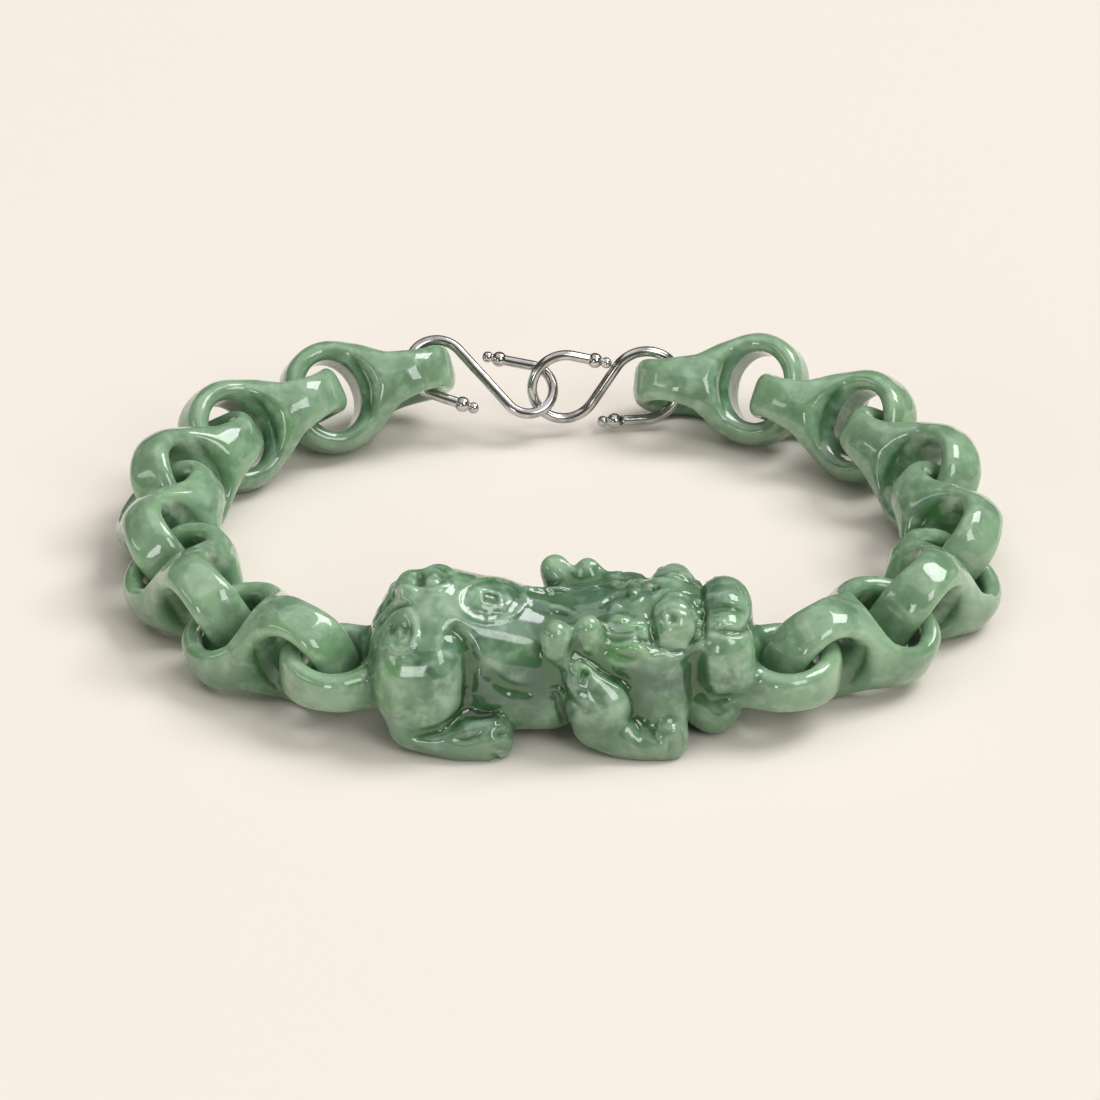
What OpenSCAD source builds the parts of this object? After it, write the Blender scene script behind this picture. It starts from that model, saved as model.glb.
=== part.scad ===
/* [Links] */
// Length of one carved link over both eyes
link_len = 17.6; // [17:0.1:18]
// Outer radius of a link's eye
eye_r = 5.4; // [5.2:0.1:5.6]
// Height of the band that forms an eye
band_w = 4.5; // [4:0.1:4.6]
// Radial thickness of the band at the tip of an eye
band_t = 2.1; // [1.9:0.1:2.2]
// Opening of an eye along the link
hole_len = 5.5; // [5.2:0.1:5.8]
// Opening of an eye across the link
hole_w = 7.1; // [6.8:0.1:7.4]
// Length over which the wide side of an eye narrows to the band
taper_len = 7; // [6:0.5:8]
// Rounding of the band's long edges at the tip
tip_round = 1.7; // [1:0.1:2]
// Squareness of a link's section, 2 for an ellipse
squareness = 2.8; // [2:0.1:3.5]
// Number of sides of a link's section
section_sides = 12; // [12:4:16]

/* [Pixiu] */
// Half the distance over the tips of the two end loops
loop_reach = 24.2; // [24:0.1:24.5]
// Height of the end loops' middle above the ground
loop_z = 5; // [4.8:0.1:5.3]
// Radius of the coin on the back
coin_r = 3; // [2.5:0.1:3.3]
// Side of the coin's square hole
coin_hole = 1.5; // [1:0.1:2]
// Width of the coin's raised rim
coin_rim = 0.6; // [0.4:0.1:0.8]
// Height by which the coin's rim stands above the back
coin_relief = 0.35; // [0.2:0.05:0.6]
// Number of sides of a large lump, round the upright axis
lump_sides = 12; // [12:2:20]
// Number of sides of a small lump
detail_sides = 8; // [8:2:12]

/* [Hooks] */
// Diameter of the silver wire
wire_d = 1; // [0.8:0.05:1]
// Diameter of the ball on each wire end
ball_d = 1.5; // [1.3:0.1:1.7]
// Diameter of the small bead beyond each ball
bead_d = 1.1; // [0.9:0.1:1.2]

/* [Hidden] */

// The middle of the carved pixiu on the ground plane, measured from the bracelet's centre
pixiu_at = [0.21, -25.36];

jade = "#8fb88f";
silver = "#d8d8d8";

// Half the size of a link's section in the direction in which one eye is broad, at the
// distance d from that eye's tip: an arc, a soft taper, then the plain band.
function broad(d) =
  d <= eye_r ? sqrt(eye_r * eye_r - (eye_r - d) * (eye_r - d))
  : d < eye_r + taper_len ? band_w / 2 + (eye_r - band_w / 2) * (1 + cos(180 * (d - eye_r) / taper_len)) / 2
  : band_w / 2;

// The band's long edges are rounded over the last stretch before the tip.
function tip_loss(d) =
  d >= tip_round ? 0 : tip_round - sqrt(tip_round * tip_round - (tip_round - d) * (tip_round - d));

function bulge(v) = sign(v) * pow(abs(v), 2 / squareness);

// One section of a lying eye at the distance d from its tip: a rounded rectangle of points.
function section(d) = [
  for (i = [0:section_sides - 1])
    let (a = 360 * i / section_sides)
      [link_len / 2 - d, broad(d) * bulge(cos(a)), (broad(link_len - d) - tip_loss(d)) * bulge(sin(a))]
];

// Distances of the sections from the tip, as parts of half the link
section_steps = [0, 0.04, 0.14, 0.3, 0.48, 0.65, 0.82, 1];

// An eye's hole opens out towards both faces: the part of the band's height that stays
// straight, the part by which it has opened out, and how much wider it is there
straight_part = 0.56;
opened_part = 1.1;
opened_out = 1.22;

// What is ground out of an eye: an oval hole with eased rims, along z.
module eye_hole() {
  straight = band_w * straight_part / 2;
  opened = band_w * opened_part / 2;
  deep = link_len;
  scale([hole_len / 2, hole_w / 2, 1])
    rotate_extrude($fn = 16)
      polygon([
        [0, -deep], [opened_out, -deep], [opened_out, -opened], [1, -straight],
        [1, straight], [opened_out, opened], [opened_out, deep], [0, deep]
      ]);
}

// Half a link along x, from its middle at the origin to the tip of its lying eye
module eye_end() {
  difference() {
    for (i = [1:len(section_steps) - 1])
      hull()
        polyhedron(
          points = concat(
            section(section_steps[i - 1] * link_len / 2),
            section(section_steps[i] * link_len / 2)
          ),
          faces = [
            [for (k = [0:section_sides - 1]) k],
            [for (k = [0:section_sides - 1]) 2 * section_sides - 1 - k]
          ]
        );
    translate([link_len / 2 - band_t - hole_len / 2, 0, 0])
      eye_hole();
  }
}

// One link along x: its first eye stands upright, its second lies flat.
module link() {
  union() {
    eye_end();
    rotate([90, 0, 0])
      mirror([1, 0, 0])
        eye_end();
  }
}

// How each link lies, counted from the pixiu: its heading away from the long axis, how far it
// climbs towards the hooks, how far its upright eye leans, the height of its middle, and the
// step from the middle of the link before it.
HEADING = 0;
CLIMB = 1;
LEAN = 2;
MIDDLE_Z = 3;
STEP = 4;
right_side = [
  [38, -4, 22, 4.95, 0],
  [63, -10, 29, 4.65, 11.9],
  [91, -3, 37, 4.7, 11.7],
  [113, -2, 30, 5.05, 11.9],
  [137, -5, 32, 4.95, 11.8],
  [161, -8, 36, 4.85, 12.2]
];
left_side = [
  [39, -8, 21, 4.7, 0],
  [64, -4, 28, 4.8, 11.5],
  [85, -1, 36, 4.75, 11.6],
  [108, -4, 32, 4.7, 11.7],
  [138, 3, 37, 4.95, 10.8],
  [157, 3, 37, 5.4, 11.5]
];
// Middle of the first link, out from the pixiu's middle and back
first_right = [25, 4.5];
first_left = [25, 4.5];

// Middle of link n of one side, seen from the pixiu's middle
function middle(side, start, n) =
  n == 0 ? start
  : let (bearing = (side[n - 1][HEADING] + side[n][HEADING]) / 2)
    middle(side, start, n - 1) + side[n][STEP] * [cos(bearing), sin(bearing)];

module laid_link(side, start, n, flip) {
  at = middle(side, start, n);
  lie = side[n];
  color(jade)
    translate([pixiu_at.x, pixiu_at.y, 0])
      mirror([flip, 0, 0])
        translate([at.x, at.y, lie[MIDDLE_Z]])
          rotate([0, 0, lie[HEADING]])
            rotate([0, -lie[CLIMB], 0])
              rotate([lie[LEAN], 0, 0])
                link();
}

module right_link(n) {
  laid_link(right_side, first_right, n - 1, 0);
}

module left_link(n) {
  laid_link(left_side, first_left, n - 1, 1);
}

// The pixiu is carved from lumps. A row holds the middle of a lump, measured from the spot under
// the pixiu's middle, and half its size each way. The rows of one list follow each other along
// the limb and are filled in between.
FORWARD = 0;
OUTWARD = 1;
UP = 2;
HALF_LENGTH = 3;
HALF_WIDTH = 4;
HALF_HEIGHT = 5;
torso = [
  [-10.2, 0, 7.8, 5.9, 6, 6.3],
  [-3, 0, 6.5, 5, 5.5, 5.7],
  [6, 0, 7.2, 4.6, 5.2, 5.2]
];
hind_leg = [
  [-11.8, 4.4, 6.8, 4.5, 3.2, 5.4],
  [-11.6, 4.9, 3, 3.8, 2.7, 3],
  [-8.6, 5.9, 1.3, 2.2, 2, 2.1],
  [-6, 5.9, 1.3, 2.1, 2.1, 2.2]
];
fore_leg = [
  [2.6, 5.3, 3, 2.8, 2.3, 3],
  [6, 5.8, 1.3, 2, 2, 2],
  [9, 5.9, 1.4, 2.2, 2, 2.2]
];
chest_column = [
  [8, 3.4, 8, 3.4, 2.8, 3.2],
  [8.4, 4.5, 3.6, 3.2, 2.7, 3.2]
];
shoulder = [
  [2, 6, 8, 1.3, 1, 1.2],
  [3.2, 5.8, 5.4, 3.2, 2.1, 3.3]
];
neck = [
  [3, 0, 8.4, 4, 5.6, 4.2],
  [9.6, 0, 9.2, 3.4, 4.8, 4]
];
snout = [
  [12.6, 0, 10.4, 2.4, 3.6, 3.2],
  [14, 0, 11.2, 2.4, 3.2, 2.6]
];
lips = [
  [13.2, 1.4, 8.6, 2.8, 2.8, 3.6],
  [13.8, 2.9, 8.3, 2.8, 2.7, 3.5]
];
chin = [
  [11, 0, 4, 2.6, 4.2, 3.4],
  [12.6, 0, 2.6, 3.1, 4.8, 2.6]
];
ear = [
  [4.8, 3.9, 11.2, 1.4, 1.2, 1.1],
  [6.8, 3.6, 11.7, 1.3, 1.2, 1.2]
];
whisker = [
  [4.6, 5, 9, 0.9, 0.7, 0.8],
  [6.6, 5, 10, 1.3, 0.9, 0.8],
  [8.2, 4.7, 9.2, 1, 0.8, 0.8]
];
mane_drop_1 = [
  [-0.4, 5.6, 11.4, 1.45, 1.4, 1.5],
  [-0.1, 5.8, 10, 0.8, 0.7, 0.8]
];
mane_drop_2 = [
  [2.5, 4.8, 11.8, 1.2, 1.3, 1.3],
  [2.9, 5.1, 10.4, 0.7, 0.7, 0.8]
];
mane_root = [
  [0.4, 3.4, 10.2, 2, 2.6, 1.8],
  [4, 3, 10.6, 2.4, 2.2, 1.8]
];
eye_ball = [
  [9.8, 3.1, 11.1, 2.2, 2.2, 2.2],
  [9.4, 1.2, 11.2, 2, 1.6, 2.1]
];
wing = [
  [-2.6, 3.4, 11.6, 1.2, 0.8, 0.5],
  [0.8, 4, 11.4, 1.2, 0.9, 0.6]
];
tail_curls = [
  [[-12.9, 0, 12.8, 1.8, 2.7, 1.4], [-11.4, 0, 12.2, 1.6, 2.6, 1.5]],
  [[-10.2, 0, 13.5, 1.9, 2.6, 1.2], [-8.6, 0, 12.7, 1.6, 2.2, 1.2]]
];
hip_curl = [
  [-13.3, 4.2, 11.2, 1.6, 1, 1.6],
  [-12.4, 4.6, 10.4, 1.6, 1, 1.6]
];
// Middle of the coin, forward and outward
coin_at = [-5.4, -1];

// Half length or half height above which a lump counts as large
large_lump = 2.5;

module lump(row) {
  large = max(row[HALF_LENGTH], row[HALF_HEIGHT]) > large_lump;
  translate([row[FORWARD], row[OUTWARD], row[UP]])
    scale([row[HALF_LENGTH], row[HALF_WIDTH], row[HALF_HEIGHT]])
      sphere(r = 1, $fn = large ? lump_sides : detail_sides);
}

// Lumps in a row, filled in between
module limb(rows) {
  for (i = [1:len(rows) - 1])
    hull() {
      lump(rows[i - 1]);
      lump(rows[i]);
    }
}

module both_sides() {
  children();
  mirror([0, 1, 0])
    children();
}

// A coin with a square hole, draped over the back
module coin() {
  intersection() {
    translate([coin_at.x, coin_at.y, 0])
      linear_extrude(3 * loop_z)
        difference() {
          circle(r = coin_r, $fn = 32);
          difference() {
            circle(r = coin_r - coin_rim, $fn = 32);
            square(coin_hole + coin_rim, center = true);
          }
          square(coin_hole, center = true);
        }
    translate([0, 0, coin_relief])
      limb(torso);
  }
}

module end_loop() {
  translate([loop_reach - link_len / 2, 0, loop_z])
    eye_end();
}

// Everything below the ground, which is ground off the paws
module below_ground() {
  mirror([0, 0, 1])
    linear_extrude(loop_z)
      square(2 * loop_reach, center = true);
}

module carving() {
  limb(torso);
  limb(neck);
  limb(snout);
  limb(chin);
  both_sides() {
    limb(hind_leg);
    limb(fore_leg);
    limb(chest_column);
    limb(shoulder);
    limb(lips);
    limb(ear);
    limb(whisker);
    limb(mane_root);
    limb(mane_drop_1);
    limb(mane_drop_2);
    limb(eye_ball);
    limb(wing);
    limb(hip_curl);
  }
  for (curl = tail_curls)
    limb(curl);
}

module pixiu() {
  color(jade)
    translate([pixiu_at.x, pixiu_at.y, 0])
      union() {
        difference() {
          carving();
          below_ground();
        }
        coin();
        end_loop();
        mirror([1, 0, 0])
          end_loop();
      }
}

// Each hook is one silver wire bent to a flat S: a loop round the last link's eye, a straight
// run across, and a loop that holds the other hook. A row holds the radii of the wire's middle
// in both loops, the distance between their centres, the turn of that line in the hook's plane,
// where the wire leaves each loop, and the length of the two straight ends.
EYE_LOOP = 0;
CLASP_LOOP = 1;
SPAN = 2;
TURN = 3;
EYE_LEAVE = 4;
CLASP_LEAVE = 5;
EYE_TAIL = 6;
CLASP_TAIL = 7;
left_bend = [2.75, 2.45, 8.9, -18.5, 265, 93, 3.4, 3.2];
right_bend = [3.4, 3.15, 7.8, 3, 268, 103, 3, 2.2];
// Middle of each hook's eye loop from the pixiu's middle, its heading and its lean back
left_hook_at = [-11.7, 53.2, 6.85];
right_hook_at = [8.2, 54.1, 4.45];
hook_heading = 8.5;
left_lean = 46;
right_lean = 10;
wire_sides = 8;
// Turn between neighbouring rings of the wire round a loop, at most
bend_step = 25;
// Angles round the ball and the bead at which they have a ring, from the wire's side to the tip
ball_rings = [asin(wire_d / ball_d), 66, 90, 114, 138];
bead_rings = [50, 90, 130, 165];
// Distance from the ball's middle to the bead's, as a part of their diameters' sum
bead_step = 0.43;

// Distance along a straight end and radius there: the wire, its ball and its small bead
function wire_end(run) = concat(
  [for (a = ball_rings) [run - ball_d / 2 * cos(a), ball_d / 2 * sin(a)]],
  [for (a = bead_rings)
    [run + bead_step * (ball_d + bead_d) - bead_d / 2 * cos(a), bead_d / 2 * sin(a)]]
);

// The stations of one hook in its plane: place, direction and radius of the wire
function hook_stations(bend) =
  let (
    cross = asin((bend[EYE_LOOP] + bend[CLASP_LOOP]) / bend[SPAN]),
    eye_turn = bend[EYE_LEAVE] + cross - 90,
    clasp_turn = 90 + bend[CLASP_LEAVE] + cross,
    eye_steps = ceil(eye_turn / bend_step),
    clasp_steps = ceil(clasp_turn / bend_step),
    eye_end = wire_end(bend[EYE_TAIL]),
    leave_eye = bend[EYE_LEAVE],
    leave_clasp = bend[CLASP_LEAVE]
  )
  concat(
    [for (i = [len(eye_end) - 1:-1:0])
      let (at = bend[EYE_LOOP] * [cos(leave_eye), sin(leave_eye)]
        + eye_end[i][0] * [-sin(leave_eye), cos(leave_eye)])
        [at.x, at.y, leave_eye - 90, eye_end[i][1]]],
    [for (i = [0:eye_steps])
      let (a = leave_eye - eye_turn * i / eye_steps)
        [bend[EYE_LOOP] * cos(a), bend[EYE_LOOP] * sin(a), a - 90, wire_d / 2]],
    [for (i = [0:clasp_steps])
      let (a = 270 - cross + clasp_turn * i / clasp_steps)
        [bend[SPAN] + bend[CLASP_LOOP] * cos(a), bend[CLASP_LOOP] * sin(a), a + 90, wire_d / 2]],
    [for (end = wire_end(bend[CLASP_TAIL]))
      let (at = bend[CLASP_LOOP] * [cos(leave_clasp), sin(leave_clasp)]
        + end[0] * [-sin(leave_clasp), cos(leave_clasp)])
        [bend[SPAN] + at.x, at.y, leave_clasp + 90, end[1]]]
  );

module s_hook(bend) {
  stations = hook_stations(bend);
  last = len(stations) - 1;
  polyhedron(
    points = [
      for (s = stations, k = [0:wire_sides - 1])
        let (x = s[0], y = s[1], along = s[2], r = s[3], a = 360 * (k + 0.5) / wire_sides)
          [x - r * cos(a) * sin(along), y + r * cos(a) * cos(along), r * sin(a)]
    ],
    faces = concat(
      [[for (k = [0:wire_sides - 1]) k]],
      [[for (k = [0:wire_sides - 1]) (last + 1) * wire_sides - 1 - k]],
      [for (i = [0:last - 1], k = [0:wire_sides - 1], half = [0, 1])
        let (
          here = i * wire_sides,
          there = here + wire_sides,
          next = (k + 1) % wire_sides
        )
          half == 0 ? [here + k, there + k, here + next] : [here + next, there + k, there + next]]
    )
  );
}

module laid_hook(bend, at, lean, flip) {
  color(silver)
    translate([pixiu_at.x + at.x, pixiu_at.y + at.y, at.z])
      rotate([90 - lean, 0, hook_heading])
        mirror([flip, 0, 0])
          rotate([0, 0, bend[TURN]])
            s_hook(bend);
}

module left_hook() {
  laid_hook(left_bend, left_hook_at, left_lean, 0);
}

module right_hook() {
  laid_hook(right_bend, right_hook_at, right_lean, 1);
}

pixiu();
left_link(1);  // left_link_1
left_link(2);  // left_link_2
left_link(3);  // left_link_3
left_link(4);  // left_link_4
left_link(5);  // left_link_5
left_link(6);  // left_link_6
right_link(1);  // right_link_1
right_link(2);  // right_link_2
right_link(3);  // right_link_3
right_link(4);  // right_link_4
right_link(5);  // right_link_5
right_link(6);  // right_link_6
left_hook();
right_hook();
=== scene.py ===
import math
from functools import partial

import bpy
import numpy as np
import openvdb
from mathutils import Matrix, Vector


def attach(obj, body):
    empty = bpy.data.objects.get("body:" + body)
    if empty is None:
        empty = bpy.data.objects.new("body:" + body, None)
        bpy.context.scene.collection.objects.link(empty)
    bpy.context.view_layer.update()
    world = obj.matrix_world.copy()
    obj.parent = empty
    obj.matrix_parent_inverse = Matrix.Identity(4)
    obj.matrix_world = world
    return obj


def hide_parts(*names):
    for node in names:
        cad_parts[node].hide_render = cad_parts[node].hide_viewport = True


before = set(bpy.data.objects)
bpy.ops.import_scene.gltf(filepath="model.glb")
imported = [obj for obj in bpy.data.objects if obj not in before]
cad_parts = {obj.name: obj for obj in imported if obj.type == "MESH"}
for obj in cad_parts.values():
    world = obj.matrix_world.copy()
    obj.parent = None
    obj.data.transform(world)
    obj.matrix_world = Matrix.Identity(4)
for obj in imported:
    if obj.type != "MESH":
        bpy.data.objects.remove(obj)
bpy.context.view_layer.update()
MM = 0.001

# The carved links. Each is one piece of jade, ground from the solid with two eyes at right
# angles, pierced, and polished all over until its edges are soft. The eyes are threaded
# through each other by carving the whole chain out of one block.
LINK_LENGTH = 17.6
EYE_RADIUS = 5.4
BAND_HEIGHT = 4.7
BAND_THICKNESS = 2.1
HOLE_LENGTH = 5.5
HOLE_WIDTH = 6.9
TAPER_LENGTH = 9.0
TIP_ROUNDING = 1.7
EYE_EDGE_ROUNDING = 1.3
BODY_EDGE_ROUNDING = 2.8
# How far along the link, each way from its middle, the wide rounding of the body reaches
BODY_REACH = 3.0
CROWNING = 0.012
HOLE_EDGE_ROUNDING = 0.9
# The rims of a hole open out from this share of the band's height, over this share, by this part
RIM_FROM, RIM_OVER, RIM_OPENING = 0.28, 0.27, 0.22
LINK_CELL = 0.2
POLISHING_ROUNDS = 3
RECESS_REACH = 0.9
BULK_REACH = 2.6
SHELTER_REACH = 4.5


def stone_grid(low, high, cell):
    """Coordinates, in mm, of a block of stone divided into cells."""
    axes = [np.arange(low[i], high[i] + cell, cell, dtype=np.float32) for i in range(3)]
    return np.meshgrid(*axes, indexing="ij")


def soft_min(a, b, blend):
    """The nearer of two surfaces, run together over the blend."""
    h = np.maximum(blend - np.abs(a - b), 0) / blend
    return np.minimum(a, b) - h * h * blend / 4


def soft_max(a, b, blend):
    return -soft_min(-a, -b, blend)


def average_around(values, cells):
    """The mean over a cube that reaches so many cells each way."""
    for axis in range(3):
        padding = [(cells + 1, cells) if i == axis else (0, 0) for i in range(3)]
        total = np.cumsum(np.pad(values, padding, mode="edge"), axis, dtype=np.float64)
        ahead = np.take(total, range(2 * cells + 1, total.shape[axis]), axis)
        behind = np.take(total, range(0, total.shape[axis] - 2 * cells - 1), axis)
        values = (ahead - behind) / (2 * cells + 1)
    return values


def share_of_stone(field, reach, cell):
    """How much of the cube of that reach round each cell is stone: half on a flat face, more
    in a recess, less on an edge or a thin band."""
    return average_around(np.clip(0.5 - field / cell, 0, 1), max(1, round(reach / cell)))


def read_between_cells(field, points):
    """The field at points that lie between its cells."""
    points = np.clip(points, 0, np.array(field.shape) - 1.001)
    cell = points.astype(int)
    part = points - cell
    value = 0
    for corner in np.ndindex(2, 2, 2):
        weight = np.prod(np.where(corner, part, 1 - part), axis=1)
        value = value + weight * field[tuple((cell + corner).T)]
    return value


def polish(field, points):
    """Moves points onto the surface where the field changes sign, along its slope."""
    for _ in range(POLISHING_ROUNDS):
        rises = [read_between_cells(field, points + step) - read_between_cells(field, points - step)
                 for step in np.eye(3)]
        slope = np.stack(rises, axis=1) / 2
        size = np.maximum((slope ** 2).sum(1), 1e-4)
        move = np.clip(read_between_cells(field, points) / size, -1, 1)
        points = points - move[:, None] * slope
    return points


def mesh_of_stone(name, field, low, cell):
    """The surface where the field changes sign, as a smooth mesh in metres. It carries how deep
    each point lies in a recess and how much stone is behind it, which the colour follows."""
    grid = openvdb.FloatGrid(10.0)
    grid.copyFromArray(np.ascontiguousarray(field, dtype=np.float32))
    points, quads = grid.convertToQuads(0.0)
    points = polish(field, points)
    mesh = bpy.data.meshes.new(name)
    mesh.from_pydata(((points * cell + np.array(low)) * MM).tolist(), [], quads.tolist())
    reaches = (("recess", RECESS_REACH), ("bulk", BULK_REACH), ("shelter", SHELTER_REACH))
    for attribute, reach in reaches:
        share = read_between_cells(share_of_stone(field, reach, cell), points).astype(np.float32)
        mesh.attributes.new(attribute, "FLOAT", "POINT").data.foreach_set("value", share)
    mesh.shade_smooth()
    return mesh


def eye_outline(x, across, taper=TAPER_LENGTH):
    """Distance to a link's outline, seen in the plane of the eye at its far end: the round eye,
    a taper, and the rounded end of the other eye's band."""
    half_band = BAND_HEIGHT / 2
    flare = EYE_RADIUS - half_band
    eye_middle = LINK_LENGTH / 2 - EYE_RADIUS
    along_taper = np.clip((eye_middle - x) / taper, 0, 1)
    half = half_band + flare * (1 + np.cos(math.pi * along_taper)) / 2
    slope = flare * math.pi / 2 / taper * np.sin(math.pi * along_taper)
    side = (across - half) / np.sqrt(1 + slope ** 2)
    past_side = across - half_band + TIP_ROUNDING
    past_end = TIP_ROUNDING - LINK_LENGTH / 2 - x
    band_end = (np.hypot(np.maximum(past_side, 0), np.maximum(past_end, 0))
                + np.minimum(np.maximum(past_side, past_end), 0) - TIP_ROUNDING)
    outline = np.where(x > eye_middle, np.hypot(x - eye_middle, across) - EYE_RADIUS, side)
    return np.where(past_end > 0, band_end, outline)


def eye_hole(x, across, along, middle):
    """Distance to an oval hole whose rims are eased towards both faces."""
    past_rim = np.clip((np.abs(along) / BAND_HEIGHT - RIM_FROM) / RIM_OVER, 0, 1)
    opening = 1 + RIM_OPENING * past_rim ** 1.5
    u = (x - middle) / (HOLE_LENGTH / 2 * opening)
    v = across / (HOLE_WIDTH / 2 * opening)
    return (np.hypot(u, v) - 1) * HOLE_LENGTH / 2


def link_field(x, y, z):
    """A link along x: the eye at the far end lies flat, the one at the near end stands."""
    rounding = EYE_EDGE_ROUNDING + BODY_EDGE_ROUNDING * np.exp(-(x / BODY_REACH) ** 2)
    body = soft_max(eye_outline(x, np.abs(y) + CROWNING * z ** 2),
                    eye_outline(-x, np.abs(z) + CROWNING * y ** 2), rounding)
    hole_middle = LINK_LENGTH / 2 - BAND_THICKNESS - HOLE_LENGTH / 2
    body = soft_max(body, -eye_hole(x, y, z, hole_middle), HOLE_EDGE_ROUNDING)
    return soft_max(body, -eye_hole(x, z, y, -hole_middle), HOLE_EDGE_ROUNDING)


def make_link_mesh():
    margin = 1.0
    low = (-LINK_LENGTH / 2 - margin, -EYE_RADIUS - margin, -EYE_RADIUS - margin)
    high = [-v for v in low]
    return mesh_of_stone("link", link_field(*stone_grid(low, high, LINK_CELL)), low, LINK_CELL)


def new_material(name):
    material = bpy.data.materials.new(name)
    material.use_nodes = True
    return material, material.node_tree.nodes, material.node_tree.links


def tone(red, green, blue):
    """A colour as a paint card gives it, 0 to 255, for a shader."""
    shares = [v / 255 for v in (red, green, blue)]
    return (*[v / 12.92 if v < 0.04 else ((v + 0.055) / 1.055) ** 2.4 for v in shares], 1)


def noise(nodes, links, coordinates, grain, detail, distortion=0.0):
    """Cloudy variation whose patches are about grain mm across."""
    texture = nodes.new("ShaderNodeTexNoise")
    texture.inputs["Scale"].default_value = 1 / (grain * MM)
    texture.inputs["Detail"].default_value = detail
    texture.inputs["Distortion"].default_value = distortion
    links.new(coordinates, texture.inputs["Vector"])
    return texture.outputs["Fac"]


def spread(nodes, links, value, low, high, to_low=0.0, to_high=1.0):
    """Maps a value from one range to another, softly and without overshoot."""
    node = nodes.new("ShaderNodeMapRange")
    node.interpolation_type = "SMOOTHSTEP"
    limits = {"From Min": low, "From Max": high, "To Min": to_low, "To Max": to_high}
    for socket, number in limits.items():
        node.inputs[socket].default_value = number
    links.new(value, node.inputs["Value"])
    return node.outputs["Result"]


def blend_colour(nodes, links, amount, first, second):
    node = nodes.new("ShaderNodeMix")
    node.data_type = "RGBA"
    links.new(amount, node.inputs["Factor"])
    for socket, colour in ((node.inputs["A"], first), (node.inputs["B"], second)):
        if isinstance(colour, tuple):
            socket.default_value = colour
        else:
            links.new(colour, socket)
    return node.outputs["Result"]


def surface_value(nodes, name):
    node = nodes.new("ShaderNodeAttribute")
    node.attribute_name = name
    return node.outputs["Fac"]


# Tones of the jade: its dark and pale clouds, the flecks, vivid patches and milk in them; then
# a painted glow on its thin places, and painted shade in its sheltered and low places and its
# hollows
DARK_CLOUD, PALE_CLOUD = (88, 130, 100), (150, 184, 154)
FLECK, VIVID, MILK = (76, 110, 88), (94, 154, 84), (180, 206, 184)
PAINTED_THIN_GLOW, PAINTED_SHELTER_SHADE, LOW = (160, 194, 154), (58, 92, 72), (68, 102, 76)
PAINTED_HOLLOW_SHADE, PAINTED_DEEP_SHADE = (62, 112, 54), (44, 80, 44)
JADE_IOR = 1.66
# How far light of each colour passes into the stone, in mm, and how uneven the polish is
GLOW_DEPTH = 1.6
GLOW_COLOURS = (0.6, 1.0, 0.5)
UNEVENNESS = 0.05


def make_jade():
    material, nodes, links = new_material("polished_jade")
    shader = nodes["Principled BSDF"]
    place = nodes.new("ShaderNodeTexCoord").outputs["Object"]
    clouds = spread(nodes, links, noise(nodes, links, place, 6, 2, 0.4), 0.34, 0.66)
    flecks = spread(nodes, links, noise(nodes, links, place, 2.4, 5, 0.5), 0.42, 0.72, 0, 0.85)
    vivid = spread(nodes, links, noise(nodes, links, place, 4.5, 3, 0.8), 0.5, 0.72, 0, 0.75)
    milk = spread(nodes, links, noise(nodes, links, place, 1.3, 5, 0.3), 0.42, 0.78, 0, 0.75)
    colour = blend_colour(nodes, links, clouds, tone(*DARK_CLOUD), tone(*PALE_CLOUD))
    colour = blend_colour(nodes, links, flecks, colour, tone(*FLECK))
    colour = blend_colour(nodes, links, vivid, colour, tone(*VIVID))
    colour = blend_colour(nodes, links, milk, colour, tone(*MILK))
    # painted glow on thin places; painted shade on sheltered and low ones, darkest at the bottoms
    # of hollows
    painted_glow = spread(nodes, links, surface_value(nodes, "bulk"), 0.42, 0.2, 0, 0.45)
    colour = blend_colour(nodes, links, painted_glow, colour, tone(*PAINTED_THIN_GLOW))
    # painted shade: darker where much stone closes round the surface, in the wide hollows between
    # parts
    painted_shelter_shade = spread(nodes, links, surface_value(nodes, "shelter"), 0.38, 0.54, 0, 0.85)
    colour = blend_colour(nodes, links, painted_shelter_shade, colour, tone(*PAINTED_SHELTER_SHADE))
    # painted shade: the stone is made darker towards its bottom, near the floor
    height = nodes.new("ShaderNodeSeparateXYZ")
    links.new(place, height.inputs[0])
    low = spread(nodes, links, height.outputs["Z"], 7 * MM, 0.5 * MM, 0, 0.5)
    colour = blend_colour(nodes, links, low, colour, tone(*LOW))
    # painted shade in recesses and holes, and deeper painted shade at their bottoms
    painted_hollow_shade = spread(nodes, links, surface_value(nodes, "recess"), 0.46, 0.58, 0, 0.7)
    colour = blend_colour(nodes, links, painted_hollow_shade, colour, tone(*PAINTED_HOLLOW_SHADE))
    deep = spread(nodes, links, surface_value(nodes, "recess"), 0.56, 0.74)
    colour = blend_colour(nodes, links, deep, colour, tone(*PAINTED_DEEP_SHADE))
    links.new(colour, shader.inputs["Base Color"])
    links.new(spread(nodes, links, milk, 0, 1, 0.08, 0.14), shader.inputs["Roughness"])
    shader.inputs["IOR"].default_value = JADE_IOR
    shader.inputs["Coat Weight"].default_value = 0.45
    shader.inputs["Coat Roughness"].default_value = 0.04
    shader.inputs["Subsurface Weight"].default_value = 0.5
    shader.inputs["Subsurface Radius"].default_value = GLOW_COLOURS
    shader.inputs["Subsurface Scale"].default_value = GLOW_DEPTH * MM
    bump = nodes.new("ShaderNodeBump")
    bump.inputs["Strength"].default_value = 0.12
    bump.inputs["Distance"].default_value = UNEVENNESS * MM
    links.new(noise(nodes, links, place, 1.8, 3), bump.inputs["Height"])
    links.new(bump.outputs["Normal"], shader.inputs["Normal"])
    return material


jade = make_jade()

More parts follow.
